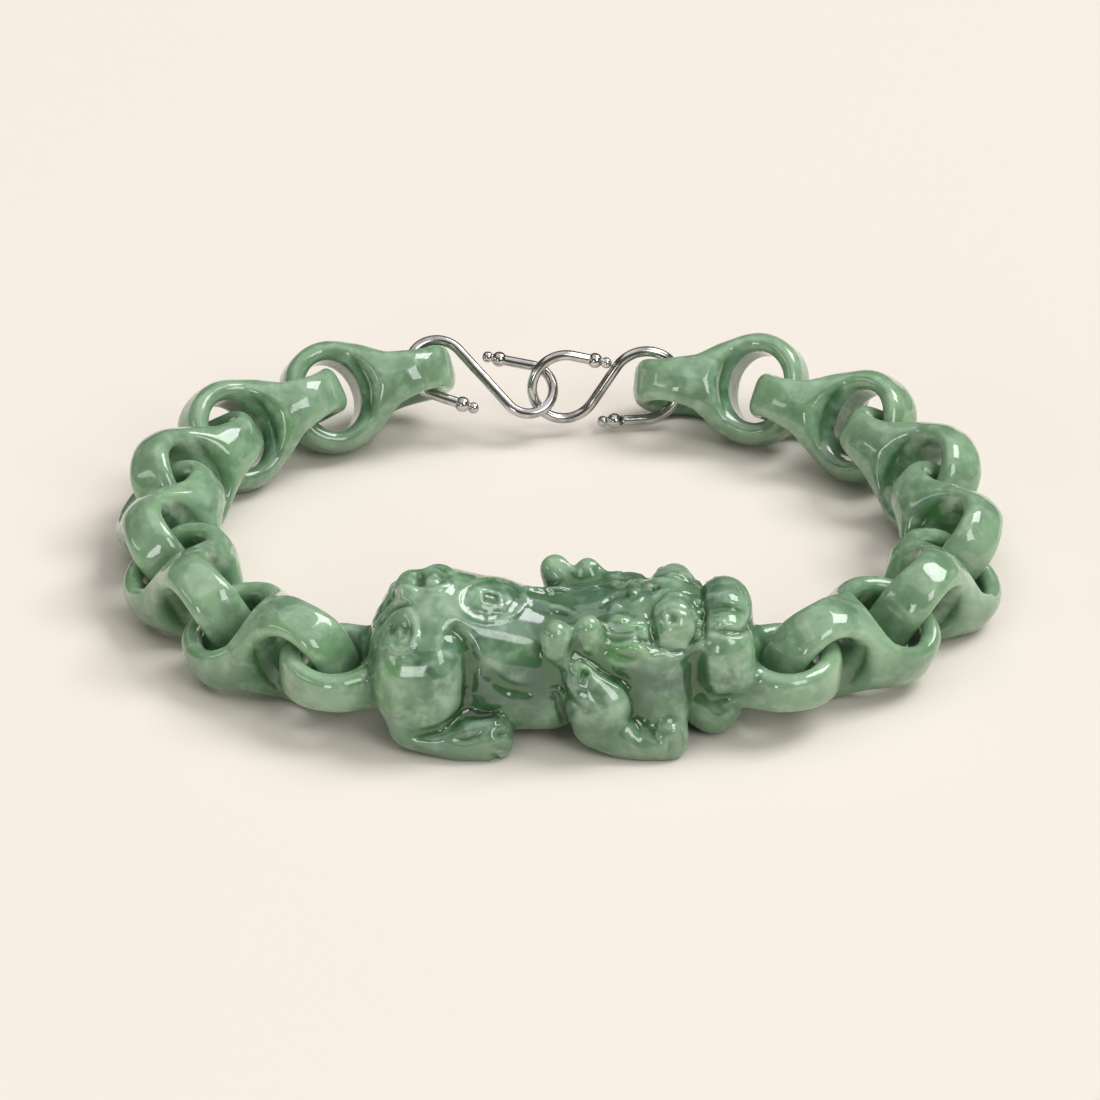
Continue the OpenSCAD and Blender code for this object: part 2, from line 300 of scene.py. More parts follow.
# How each link lies, counted from the pixiu: its heading away from the long axis, how far it
# climbs towards the hooks, how far it leans, the height of its middle, and the step from the
# middle of the link before it. They lie as the flexible chain came to rest.
HEADING, CLIMB, LEAN, MIDDLE_Z, STEP = range(5)
PIXIU_AT = (0.21, -25.36)
FIRST_LINK_AT = (25.0, 4.5)
RIGHT_SIDE = (
    (38, -4, 22, 4.95, 0),
    (63, -10, 29, 4.65, 11.9),
    (91, -3, 37, 4.7, 11.7),
    (113, -2, 30, 5.05, 11.9),
    (137, -5, 32, 4.95, 11.8),
    (161, -8, 36, 4.85, 12.2),
)
LEFT_SIDE = (
    (39, -8, 21, 4.7, 0),
    (64, -4, 28, 4.8, 11.5),
    (85, -1, 36, 4.75, 11.6),
    (108, -4, 32, 4.7, 11.7),
    (138, 3, 37, 4.95, 10.8),
    (157, 3, 37, 5.4, 11.5),
)


# The lowest height of any stone: just clear of the surface it rests on
RESTING_Z = 0.02


def turn(degrees, axis):
    return Matrix.Rotation(math.radians(degrees), 4, axis)


def lay_links(side, rows, mirror):
    flip = Matrix.Scale(-1, 4, (1, 0, 0)) if mirror else Matrix.Identity(4)
    at = Vector((*FIRST_LINK_AT, 0))
    for n, row in enumerate(rows):
        if n > 0:
            bearing = math.radians((rows[n - 1][HEADING] + row[HEADING]) / 2)
            at += row[STEP] * Vector((math.cos(bearing), math.sin(bearing), 0))
        place = Matrix.Translation(Vector((at.x, at.y, row[MIDDLE_Z])) * MM)
        lie = turn(row[HEADING], "Z") @ turn(-row[CLIMB], "Y") @ turn(row[LEAN], "X")
        mesh = link_mesh.copy()
        middle = Matrix.Translation(Vector((*PIXIU_AT, 0)) * MM)
        mesh.transform(middle @ flip @ place @ lie)
        if mirror:
            mesh.flip_normals()
        # the band is worn flat where it rests on the floor
        places = np.empty(3 * len(mesh.vertices), np.float32)
        mesh.vertices.foreach_get("co", places)
        places[2::3] = np.maximum(places[2::3], RESTING_Z * MM)
        mesh.vertices.foreach_set("co", places)
        node = f"{side}_link_{n + 1}"
        link = bpy.data.objects.new(f"{node}_stone", mesh)
        bpy.context.scene.collection.objects.link(link)
        mesh.materials.append(jade)
        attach(link, "root")
        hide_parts(node)


link_mesh = make_link_mesh()
lay_links("right", RIGHT_SIDE, False)
lay_links("left", LEFT_SIDE, True)

# The pixiu is one carved piece of jade: a crouching winged beast with a curled tail and mane
# drops, a coin on its back, and a pierced loop at each end that takes the first link.
LOOP_REACH = 24.2
LOOP_Z = 5.0
LOOP_HEIGHT = 4.4
LOOP_TAPER = 5.5
LOOP_START = 10.0
# Half the width of a loop's root where it is widest, where that is, the length over which it
# narrows into the body, and by how much each mm
LOOP_ROOT = 5.0
ROOT_WIDEST = 17.5
ROOT_LENGTH = 5.0
ROOT_NARROWING = 0.5
PIXIU_CELL = 0.185
PIXIU_LOW = (-25.0, -10.0, -0.6)
PIXIU_HIGH = (25.0, 10.0, 15.6)
# A distance that counts as far outside the stone, and the cells over which the blended lumps
# are rubbed down before the detail is cut
OUTSIDE = 9.0
RUBBED_CELLS = 2

# Lumps of the carving: middle forward, outward and up, and half the size each way, in mm
TORSO = ((-10.2, 0, 7.8, 5.9, 6, 6.3), (-1.2, 0, 6.5, 5, 5.5, 5.2), (6, 0, 7.2, 4.6, 5.2, 5.2))
RUMP = ((-13.3, 1.5, 7.7, 3.0, 3.2, 3.0), (-10.5, 2, 8.2, 3.4, 3.1, 3.4))
BELLY = ((-4.6, 2.7, 4.3, 3.6, 2.9, 3.5), (-1.2, 2.7, 4.1, 3.6, 2.9, 3.3))
NECK = ((3, 0, 8.3, 4, 5.3, 3.7), (9.6, 0, 9.2, 3.4, 4.8, 4))
SNOUT = ((13.3, 0, 10.4, 2.0, 3.5, 3.1), (14, 0, 10.8, 2.4, 3.2, 2.5))
CHIN = ((11, 0, 4, 2.6, 4.2, 3.4), (13.1, 0, 2.2, 2.9, 4.6, 2.7))
TAIL_CURLS = (
    ((-12.6, 0, 12.6, 1.7, 2.7, 1.5), (-11.4, 0, 12.2, 1.6, 2.6, 1.5)),
    ((-10.5, 0, 13.2, 1.8, 2.6, 1.2), (-8.9, 0, 12.6, 1.6, 2.2, 1.2)),
)
THIGH = ((-13.0, 4.3, 6.2, 3.0, 3.2, 4.9), (-10.7, 4.5, 6.2, 2.9, 3.3, 5.2))
HIND_FOOT = (
    (-11.6, 5.2, 2.2, 3.2, 2.2, 2.2),
    (-8.6, 5.9, 1.5, 2.4, 2, 2.1),
    (-6, 5.8, 1.5, 2.1, 2.1, 2.3),
)
FORE_FOOT = (
    (3.2, 5.4, 2.8, 2.4, 2.2, 2.4),
    (5.2, 5.8, 1.8, 2.1, 2, 2.1),
    (7, 6, 1.4, 1.9, 1.9, 1.9),
    (9, 5.9, 1.6, 2, 2, 2.2),
)
CHEST_COLUMN = ((8, 3.1, 8, 3.4, 2.8, 3.2), (8.1, 4.0, 3.8, 3.1, 2.7, 3.2))
SHOULDER = ((2.0, 5.8, 7.6, 1.8, 1.3, 1.6), (3.2, 5.7, 5.3, 3.1, 2.4, 3.2))
LIPS = ((13.2, 1.4, 8.6, 2.8, 2.8, 3.6), (13.8, 2.9, 8.3, 2.8, 2.7, 3.5))
LIP_EDGE = ((13.3, 3.3, 6.3, 1.8, 2, 1.7), (14.7, 3.1, 6.4, 1.9, 2, 1.7))
EAR = ((4.8, 3.9, 11.2, 1.4, 1.2, 1.1), (6.8, 3.9, 11, 1.2, 1.1, 1))
WHISKER = ((4.6, 5, 9, 0.9, 0.7, 0.8), (6.6, 5, 10, 1.3, 0.9, 0.8), (8.2, 4.7, 9.2, 1, 0.8, 0.8))
MANE_DROP_1 = ((-0.5, 5.6, 11.45, 1.42, 1.35, 1.5), (-0.5, 5.8, 10.2, 1.15, 1.05, 1.2))
MANE_DROP_2 = ((2.3, 4.9, 11.7, 1.15, 1.25, 1.35), (2.4, 5.2, 10.4, 0.9, 0.9, 1))
DROP_TAILS = (
    (-0.2, 4.9, 11.3, 0.9, 0.9, 0.9),
    (1.4, 4.2, 10.6, 0.9, 0.8, 0.8),
    (3.5, 4, 10.9, 1.2, 0.9, 0.9),
)
CHEEK = ((4.6, 3.9, 8.4, 2.0, 2.0, 2.2), (7, 3.9, 8.2, 2.2, 1.9, 2))
MANE_ROOT = ((0.4, 3.6, 9.1, 2, 2.4, 1.7), (3.6, 3.2, 9.6, 2.4, 2.2, 1.7))
EYE_BALL = ((9.6, 3.1, 11.1, 2.1, 2.2, 2.2), (9.4, 1.2, 11.2, 2, 1.6, 2.1))


def limb_field(x, y, z, rows):
    """Distance to lumps that follow each other, filled in between."""
    best = None
    for a, b in zip(rows[:-1], rows[1:]):
        a, b = np.array(a), np.array(b)
        run = b[:3] - a[:3]
        t = ((x - a[0]) * run[0] + (y - a[1]) * run[1] + (z - a[2]) * run[2]) / run.dot(run)
        t = np.clip(t, 0, 1)
        p = [v - a[i] - t * run[i] for i, v in enumerate((x, y, z))]
        half = [a[3 + i] + t * (b[3 + i] - a[3 + i]) for i in range(3)]
        k0 = np.sqrt(sum((p[i] / half[i]) ** 2 for i in range(3)))
        k1 = np.sqrt(sum((p[i] / half[i] ** 2) ** 2 for i in range(3)))
        d = k0 * (k0 - 1) / np.maximum(k1, 1e-6)
        best = d if best is None else np.minimum(best, d)
    return best


def end_loop_field(x, y, z):
    """A flat eye like a link's, at the end of the pixiu, with a short root inside the body."""
    across = np.abs(y) + CROWNING * (z - LOOP_Z) ** 2
    outline = eye_outline(x - LOOP_REACH + LINK_LENGTH / 2, across, LOOP_TAPER)
    faces = np.abs(z - LOOP_Z) + CROWNING * y ** 2 - LOOP_HEIGHT / 2
    root = LOOP_ROOT - ROOT_NARROWING * np.clip(ROOT_WIDEST - x, 0, ROOT_LENGTH)
    outline = np.minimum(outline, np.maximum(np.abs(y) - root, x - LOOP_REACH + EYE_RADIUS))
    loop = soft_max(soft_max(outline, faces, EYE_EDGE_ROUNDING), LOOP_START - x, 1)
    hole_middle = LOOP_REACH - BAND_THICKNESS - HOLE_LENGTH / 2
    return soft_max(loop, -eye_hole(x, y, z - LOOP_Z, hole_middle), HOLE_EDGE_ROUNDING)


def smooth_curve(points, spacing):
    """A smooth curve through the points, with a point each so many mm."""
    points = np.array(points, float)
    if len(points) == 1:
        return points
    ends = np.vstack((2 * points[0] - points[1], points, 2 * points[-1] - points[-2]))
    curve = []
    for a, b, c, d in zip(ends, ends[1:], ends[2:], ends[3:]):
        steps = max(2, int(np.linalg.norm(c - b) / spacing))
        for t in np.arange(steps) / steps:
            curve.append(0.5 * (2 * b + (c - a) * t + (2 * a - 5 * b + 4 * c - d) * t ** 2
                                + (3 * b - a - 3 * c + d) * t ** 3))
    curve.append(points[-1])
    return np.array(curve)


def oval(forward, height, half_length, half_height, start=0, end=360):
    """Points round an oval on the drawing, from one angle to another."""
    angles = np.radians(np.linspace(start, end, max(5, int(abs(end - start) / 20))))
    return [(forward + half_length * math.cos(a), height + half_height * math.sin(a))
            for a in angles]


class Block:
    """The block of jade that is being carved. The detail is first drawn on each side of it, as
    that side is seen from a little above: how far forward a point is, and how high."""
    SEEN_FROM = math.radians(29)
    # where the look for the stone's surface starts and ends, how wide a relief's sloping edge
    # is and how near the middle it may reach, and the room left round a tool
    NEAREST, FARTHEST = 13, -4
    RELIEF_SLOPE, RELIEF_STOPS = 0.3, 1.5
    TOOL_MARGIN = 0.8

    def __init__(self, low, high, cell):
        self.low = np.array(low)
        self.cell = cell
        self.axes = stone_grid(low, high, cell)
        self.field = np.full(self.axes[0].shape, OUTSIDE, np.float32)

    def window(self, low, high):
        first = np.maximum(((np.array(low) - self.low) / self.cell).astype(int), 0)
        last = ((np.array(high) - self.low) / self.cell).astype(int) + 2
        return tuple(slice(a, b) for a, b in zip(first, last))

    def add(self, rows, blend, both_sides=False):
        for side in (1, -1) if both_sides else (1,):
            turned = [(r[0], side * r[1], *r[2:]) for r in rows]
            low = np.min([[r[i] - r[3 + i] for i in range(3)] for r in turned], 0) - 2 - blend
            high = np.max([[r[i] + r[3 + i] for i in range(3)] for r in turned], 0) + 2 + blend
            w = self.window(low, high)
            x, y, z = (a[w] for a in self.axes)
            self.field[w] = soft_min(self.field[w], limb_field(x, y, z, turned), blend)

    def read(self, points):
        return read_between_cells(self.field, (points - self.low) / self.cell)

    def find_surface(self, drawn, side):
        """Where drawn points meet the stone, and which way it faces there."""
        lift = np.array((0, -side * math.sin(self.SEEN_FROM), math.cos(self.SEEN_FROM)))
        toward_eye = np.array((0, side * math.cos(self.SEEN_FROM), math.sin(self.SEEN_FROM)))
        found = []
        depths = np.arange(self.NEAREST, self.FARTHEST, -self.cell / 2)
        for forward, height in drawn:
            line = np.array((forward, 0, 0)) + height * lift + depths[:, None] * toward_eye
            inside = np.nonzero(self.read(line) < 0)[0]
            found.append(depths[inside[0]] if len(inside) else np.nan)
        found = np.array(found)
        known = np.nonzero(~np.isnan(found))[0]
        found = np.interp(np.arange(len(found)), known, found[known])
        places = (np.array(drawn)[:, :1] * (1, 0, 0) + np.array(drawn)[:, 1:] * lift
                  + found[:, None] * toward_eye)
        faces = np.stack([self.read(places + step) - self.read(places - step)
                          for step in np.eye(3) * 2 * self.cell], axis=1)
        return places, faces / np.linalg.norm(faces, axis=1)[:, None]

    def stroke(self, points, width, depth, raised=False, sides=(-1, 1), fade=0.3, blend=0.3):
        """A carved line of this width: cut in to the depth, or left standing that high."""
        drawn = smooth_curve(points, 1.5 * self.cell)
        run = np.linspace(0, 1, len(drawn)) if len(drawn) > 1 else np.array([0.5])
        swell = np.sqrt(np.clip(np.minimum(run, 1 - run) / max(fade, 0.01), 0.05, 1))
        depths = depth * swell
        half_widths = width / 2 * (0.5 + 0.5 * swell)
        radii = (half_widths ** 2 + depths ** 2) / (2 * depths)
        for side in sides:
            places, faces = self.find_surface(drawn, side)
            sink = (radii - depths)[:, None] * faces
            middles = places - sink if raised else places + sink
            reach = radii.max() + 1
            w = self.window(middles.min(0) - reach, middles.max(0) + reach)
            tool = np.full(self.field[w].shape, OUTSIDE, np.float32)
            origin = self.low + np.array([part.start for part in w]) * self.cell
            for a, b, ra, rb in zip(middles, middles[1:] if len(middles) > 1 else middles,
                                    radii, radii[1:] if len(middles) > 1 else radii):
                near = max(ra, rb) + self.TOOL_MARGIN
                first = np.maximum(((np.minimum(a, b) - near - origin) / self.cell).astype(int), 0)
                last = ((np.maximum(a, b) + near - origin) / self.cell).astype(int) + 2
                part = tuple(slice(i, j) for i, j in zip(first, last))
                cells = [axis[w][part] for axis in self.axes]
                span = b - a
                along = sum((cells[i] - a[i]) * span[i] for i in range(3))
                along = np.clip(along / max(span.dot(span), 1e-9), 0, 1)
                away = np.sqrt(sum((cells[i] - a[i] - along * span[i]) ** 2 for i in range(3)))
                tool[part] = np.minimum(tool[part], away - ra - along * (rb - ra))
            if raised:
                self.field[w] = soft_min(self.field[w], tool, blend)
            else:
                self.field[w] = soft_max(self.field[w], -tool, blend)

    def relief(self, shape, height, sides=(-1, 1)):
        """Lifts or lowers the surface inside a drawn shape, given as a distance to its edge."""
        x, y, z = self.axes
        for side in sides:
            seen_height = z * math.cos(self.SEEN_FROM) - side * y * math.sin(self.SEEN_FROM)
            seen_depth = z * math.sin(self.SEEN_FROM) + side * y * math.cos(self.SEEN_FROM)
            inside = np.clip(0.5 - shape(x, seen_height) / self.RELIEF_SLOPE, 0, 1)
            inside *= seen_depth > self.RELIEF_STOPS
            self.field -= (height * inside * inside * (3 - 2 * inside)).astype(np.float32)


def carve_pixiu():
    block = Block(PIXIU_LOW, PIXIU_HIGH, PIXIU_CELL)
    block.add(TORSO, 0.8)
    block.add(NECK, 0.8)
    block.add(SNOUT, 0.5)
    block.add(CHIN, 0.5)
    both_sides = (
        (RUMP, 0.8), (BELLY, 0.8), (THIGH, 0.4), (HIND_FOOT, 0.4), (CHEST_COLUMN, 0.6),
        (FORE_FOOT, 0.5), (SHOULDER, 0.4), (LIPS, 0.5), (LIP_EDGE, 0.5), (EAR, 0.3), (CHEEK, 0.6),
        (WHISKER, 0.3), (MANE_ROOT, 0.4), (DROP_TAILS, 0.4), (MANE_DROP_1, 0.2), (MANE_DROP_2, 0.2),
        (EYE_BALL, 0.3),
    )
    for rows, blend in both_sides:
        block.add(rows, blend, both_sides=True)
    for rows in TAIL_CURLS:
        block.add(rows, 0.3)
    x, y, z = block.axes
    for side in (1, -1):
        w = block.window((9 if side > 0 else -25, -7, 0), (25 if side > 0 else -9, 7, 10))
        block.field[w] = soft_min(block.field[w], end_loop_field(side * x[w], y[w], z[w]), 0.8)
    for _ in range(2):
        block.field = average_around(block.field, RUBBED_CELLS)
    block.field = block.field.astype(np.float32)
    carve_haunch(block)
    carve_coin_and_tail(block)
    carve_shoulder_and_mane(block)
    carve_head(block)
    block.field = soft_max(block.field, RESTING_Z - z, 0.3)
    return block


def carve_haunch(block):
    cut, ridge = block.stroke, partial(block.stroke, raised=True)
    # the edge of the thigh, in front and below, and the crease of the flank
    cut([(-9, 7.6), (-8.2, 6.9), (-7.75, 5.6), (-7.65, 4), (-7.8, 2.4), (-8.3, 0.9), (-9, 0)],
        1.0, 0.6, fade=0.35, blend=0.8)
    cut([(-8.6, 0.4), (-9.7, -0.6), (-11, -1.1), (-12.6, -1.3)], 1.1, 0.5, blend=0.5)
    cut([(-6.9, 4.8), (-6, 3.9), (-5.1, 3.1), (-4, 2.6), (-2.6, 2.5)], 1.2, 0.4, blend=0.6)
    # the paw: instep and toes
    cut([(-7.6, 0.3), (-6.6, 0.5), (-5.4, 0.7)], 0.9, 0.4)
    cut([(-9.2, -1.5), (-8.2, -1.6), (-7.2, -1.3), (-6.6, -0.8)], 0.8, 0.3)
    cut([(-4.3, -1.0), (-4.9, -1.15), (-5.4, -1.2)], 0.7, 0.4)
    cut([(-4.3, -2.4), (-5.0, -2.2), (-5.6, -2.3)], 0.6, 0.3)
    cut([(-5.3, -3.8), (-5.5, -3.3), (-5.9, -2.9)], 0.6, 0.35)
    # strands that run from the tail down the back of the rump
    cut([(-16, 8.4), (-15.3, 9.3), (-14.6, 10.1), (-14, 10.9)], 0.5, 0.25)
    cut([(-15.7, 7.9), (-14.9, 8.7), (-14.1, 9.4), (-13, 9.8)], 0.6, 0.28)
    # the curl on the hip
    block.relief(lambda f, h: np.hypot((f + 13.5) / 1.5, (h - 7.7) / 2.0) * 1.5 - 1.5, 0.15)
    ridge(oval(-13.5, 7.7, 1.3, 1.75, 200, 430), 0.5, 0.14)
    cut(oval(-13.6, 7.5, 0.85, 1.15, 150, 380), 0.5, 0.2)
    cut(oval(-13.7, 7.6, 0.4, 0.55, 180, 400), 0.4, 0.18)


def carve_coin_and_tail(block):
    cut, ridge = partial(block.stroke, sides=(-1,)), partial(block.stroke, raised=True, sides=(-1,))
    coin_f, coin_h = -5.85, 10.3
    block.relief(lambda f, h: (np.hypot((f - coin_f) / 2.95, (h - coin_h) / 1.95) - 1) * 2.2,
                 0.24, sides=(-1,))
    cut(oval(coin_f, coin_h, 2.45, 1.55), 0.4, 0.13, fade=0)
    cut(oval(coin_f, coin_h, 2.0, 1.2, 170, 370), 0.4, 0.1)
    # the square hole and its raised frame
    corners = [(-6.9, 11.15), (-5.2, 10.75), (-5.0, 9.6), (-6.7, 10.0)]
    for a, b in zip(corners, corners[1:] + corners[:1]):
        ridge([a, b], 0.4, 0.16, fade=0)
    hole_f, hole_h, tilt = -5.95, 10.38, 0.235
    block.relief(lambda f, h: np.maximum(
        np.abs(f - hole_f) - 0.6, (np.abs(h - hole_h + tilt * (f - hole_f)) - 0.36) * 1.5),
        -0.22, sides=(-1,))
    # two scrolls of the tail
    cut, ridge = block.stroke, partial(block.stroke, raised=True)
    cut([(-14.1, 11.4), (-13.7, 12.1), (-13, 12.6), (-12.3, 12.8)], 0.5, 0.2)
    ridge([(-13.9, 10.9), (-13.2, 11.3), (-12.6, 11.2), (-12.4, 10.8)], 0.6, 0.25, sides=(-1,))
    cut([(-11.9, 12.6), (-11.9, 12.2), (-12.1, 11.7)], 0.6, 0.25)
    cut([(-11.8, 11.5), (-10.9, 11.5), (-10, 11.9), (-9.3, 12.5)], 0.5, 0.2)
    ridge([(-11.3, 11), (-10.6, 11.1), (-9.9, 11.4), (-9.3, 11.9)], 0.5, 0.2)
    cut([(-11.5, 12.4), (-10.8, 12.2), (-10.2, 12.4), (-9.9, 12.8)], 0.4, 0.15)


def carve_shoulder_and_mane(block):
    cut, ridge = block.stroke, partial(block.stroke, raised=True)
    # the wing that lies along the back, and the curl at its root
    ridge([(-2.8, 10.2), (-1.9, 9.9), (-1.0, 9.5), (-0.1, 9.35), (1, 9)], 0.9, 0.5)
    ridge([(-2.6, 9.7), (-1.7, 9.35), (-0.8, 9.05)], 0.4, 0.2)
    cut([(-1.7, 11.5), (-1.1, 11.1), (-0.3, 10.85), (0.8, 10.9), (1.8, 11.05), (2.8, 11.2)],
        0.6, 0.3, sides=(-1,))
    ridge([(-3.3, 10.8), (-2.9, 10.3), (-2.8, 9.7)], 0.5, 0.2)
    # the edge of the shoulder, a double line, and the drilled curl on it
    cut([(1.4, 5.9), (2.3, 5.2), (3.1, 4.5), (4.2, 3.9), (5.3, 3.3), (6, 2.3), (6.4, 1.2),
         (6.4, 0.2)], 0.8, 0.35, blend=0.5)
    cut([(2.0, 4.1)], 0.7, 0.45)
    cut([(2.0, 4.1), (1.75, 3.7), (1.8, 3.3)], 0.4, 0.2)
    cut([(0.1, 3.1), (0.5, 2.3), (1.1, 1.6), (1.8, 1.1), (2.6, 1.0)], 0.5, 0.2)
    ridge([(0.5, 3.6), (0.7, 3.0), (1.2, 2.4), (1.8, 1.9)], 0.5, 0.16)
    # the tuft at the elbow
    ridge([(-0.9, 2.6), (-0.3, 2.7), (0, 2.1), (-0.3, 1.6), (-0.8, 1.7)], 0.5, 0.3)
    cut([(-0.6, 2.2), (-0.3, 2.1)], 0.4, 0.12)
    cut([(-0.4, 2.2), (-0.1, 1.0), (0.2, 0), (0.6, -0.9)], 0.6, 0.25)
    # locks of the mane, from under the drops to the cheek
    ridge([(3.3, 7.0), (3.8, 6.5), (4.8, 6.2), (6.2, 6.3), (7.1, 5.9), (7.9, 5.4), (8.1, 6)],
          0.8, 0.3)
    ridge([(3.9, 5.7), (4.6, 5.2), (5.5, 4.9), (6.4, 5.0)], 0.9, 0.3)
    cut([(6.6, 6.9), (7.2, 6.6), (7.6, 6.1)], 0.8, 0.3)
    cut([(3.6, 8.6), (4.6, 8.2), (5.6, 8.4), (6.2, 8.9)], 0.4, 0.2)
    cut([(3.6, 8.0), (4.8, 7.5), (6, 7.6), (7, 8)], 0.4, 0.2)
    # the tufts on the neck
    ridge([(4.2, 9.2), (4.6, 9.8), (4.9, 9.5)], 0.6, 0.3)
    ridge([(5.7, 10.2), (6.2, 10.9), (6.5, 11.2)], 0.7, 0.35)
    ridge([(6.0, 9.8), (6.6, 10.2), (6.9, 10.6)], 0.5, 0.25)
    cut([(3.4, 9.7), (4.4, 10.4), (5.4, 10.7), (6.4, 10.4)], 0.5, 0.25)
    ridge([(0.1, 13.6), (0.7, 13), (1.3, 12.4)], 0.5, 0.18, sides=(-1,))
    ridge([(2.9, 13.4), (3.8, 12.5), (5, 12.1), (5.6, 12)], 0.5, 0.2, sides=(-1,))


def carve_head(block):
    cut, ridge = block.stroke, partial(block.stroke, raised=True)
    # the eye: rim, lower lid and drilled pupil
    cut(oval(9.6, 7.8, 1.9, 2.0, 60, 400), 0.4, 0.16)
    ridge([(8.3, 6.3), (8.5, 7.3)], 0.5, 0.2)
    cut([(8.9, 9.2), (9.35, 8.95), (9.4, 8.6), (9.1, 8.3)], 0.55, 0.45)
    ridge([(10.4, 6.3), (11.1, 6.15), (12, 6.6)], 0.6, 0.35)
    ridge([(8.5, 5.9), (9.5, 5.4), (10.6, 5.5), (11.3, 5.9)], 0.6, 0.2)
    cut([(7.5, 9.2), (7.5, 8.2), (7.8, 7.2), (8.2, 6.4)], 0.6, 0.15)
    # the brow and its cap
    ridge([(7.7, 10.4), (8.7, 10.9), (9.8, 10.85), (10.9, 10.3)], 0.9, 0.25)
    cut([(7.4, 12.0), (8.6, 12.3), (9.8, 12.25), (11, 11.6)], 0.4, 0.18)
    cut([(8.05, 11.3)], 0.5, 0.35)
    ridge([(7.55, 11.3)], 0.6, 0.2)
    # the groove behind the muzzle, with its row of beads
    cut([(12.0, 12.0), (12.2, 11.2), (12.1, 10.4), (12.1, 9.4), (12.1, 8.2), (12.1, 7.1)], 0.5, 0.3)
    for bead in ((11.75, 9.1), (11.75, 8.2), (11.65, 7.3)):
        ridge([bead], 0.65, 0.28)
    ridge([(11.65, 10)], 0.65, 0.28, sides=(-1,))
    # the nose: nostril, double line at the front, and the fold over the lip
    cut([(14.9, 11.8), (15.35, 11), (15.4, 10), (15.2, 9.2)], 0.35, 0.2)
    cut([(15.4, 11.8), (15.85, 11), (15.95, 10)], 0.35, 0.16)
    ridge([(13.7, 10.4)], 2.0, 0.25)
    ridge([(14.1, 8.6)], 2.0, 0.3)
    cut([(12.7, 9.3), (13.6, 9.6), (14.8, 9.5), (15.5, 9.2)], 0.5, 0.2)
    ridge([(13.1, 8.3), (13.4, 8.5), (13.6, 8.2)], 0.5, 0.2)
    cut([(12.8, 7.7), (13.8, 7.6), (14.8, 7.55), (15.8, 7.8), (16.2, 8.3)], 0.7, 0.35)
    # the mouth and the lower jaw
    cut([(11.8, 5), (11.7, 4.2), (11.6, 3.4), (11.4, 2.6)], 0.9, 0.2, blend=0.8)
    ridge([(13.8, 1.4), (14.6, 1.55), (15.4, 1.7)], 0.5, 0.2)
    # the fore paw: the groove behind it, toes and a claw
    cut([(7.5, 1.0), (7.2, 0.3), (7.1, -0.5), (7.1, -1.4)], 0.9, 0.25, blend=0.8)
    cut([(8.1, 0.2), (7.9, -0.6), (7.7, -1.3), (8.3, -1.8)], 0.4, 0.2)
    ridge([(9.2, -0.8), (9.8, -1.0)], 0.8, 0.25)
    cut([(9.2, -1.6), (9.3, -2.4), (9.1, -3.1)], 0.5, 0.25)
    cut([(10.3, -0.8), (10.6, -1.6), (10.4, -2.4)], 0.5, 0.25)


block = carve_pixiu()
pixiu_mesh = mesh_of_stone("pixiu", block.field, PIXIU_LOW, PIXIU_CELL)
pixiu_mesh.transform(Matrix.Translation(Vector((*PIXIU_AT, 0)) * MM))
pixiu_mesh.materials.append(jade)
pixiu = bpy.data.objects.new("pixiu_carving", pixiu_mesh)
bpy.context.scene.collection.objects.link(pixiu)
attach(pixiu, "root")
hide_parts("pixiu")

# The clasp is two S-hooks of 1 mm silver wire, each bent to a loop round the last link's eye
# and a loop that holds the other hook. A ball and a small bead are soldered to each wire end.
WIRE = 1.0
BALL = 1.5
BEAD = 1.1
WIRE_SIDES = 20
# A ball and its bead are modelled in so many rings each; a bead's middle stands off its ball's
# by this share of both their widths, and the ball starts where the wire runs into it
END_RINGS = 9
BEAD_STAND = 0.43
BALL_STOPS, BEAD_STARTS, BEAD_STOPS = 150, 42, 176
# The radii of both loops, the distance between their centres, the turn of that line in the
# hook's plane, where the wire leaves each loop, and the length of the two straight ends
EYE_LOOP, CLASP_LOOP, SPAN, TURN, EYE_LEAVE, CLASP_LEAVE, EYE_TAIL, CLASP_TAIL = range(8)
LEFT_BEND = (2.75, 2.45, 8.9, -18.5, 265, 93, 3.4, 3.2)
RIGHT_BEND = (3.4, 3.15, 7.8, 3, 268, 103, 3, 2.2)
LEFT_HOOK_AT = (-11.7, 53.2, 6.85)
RIGHT_HOOK_AT = (8.2, 54.1, 4.45)
HOOK_HEADING = 8.5
# A loop has a point every so many degrees, a straight end so many points, the last a little
# before the loop
BEND_STEP = 5
TAIL_POINTS = 6
TAIL_GAP = 0.4
LEFT_LEAN = 46
RIGHT_LEAN = 10


def wire_path(bend):
    """Points of the wire's middle in the hook's plane, from the eye end to the clasp end."""
    cross = math.degrees(math.asin((bend[EYE_LOOP] + bend[CLASP_LOOP]) / bend[SPAN]))
    points = []

    def loop(centre, radius, start, end):
        steps = int(abs(end - start) / BEND_STEP)
        for angle in np.radians(np.linspace(start, end, steps)):
            points.append((centre + radius * math.cos(angle), radius * math.sin(angle)))

    def tail(centre, radius, leave, length):
        angle = math.radians(leave)
        for run in np.linspace(length, TAIL_GAP, TAIL_POINTS):
            points.append((centre + radius * math.cos(angle) - run * math.sin(angle),
                           radius * math.sin(angle) + run * math.cos(angle)))

    tail(0, bend[EYE_LOOP], bend[EYE_LEAVE], bend[EYE_TAIL])
    loop(0, bend[EYE_LOOP], bend[EYE_LEAVE], 90 - cross)
    loop(bend[SPAN], bend[CLASP_LOOP], 270 - cross, 360 + bend[CLASP_LEAVE])
    last = len(points)
    tail(bend[SPAN], bend[CLASP_LOOP], bend[CLASP_LEAVE], bend[CLASP_TAIL])
    points[last:] = points[last:][::-1]
    return np.array(points)


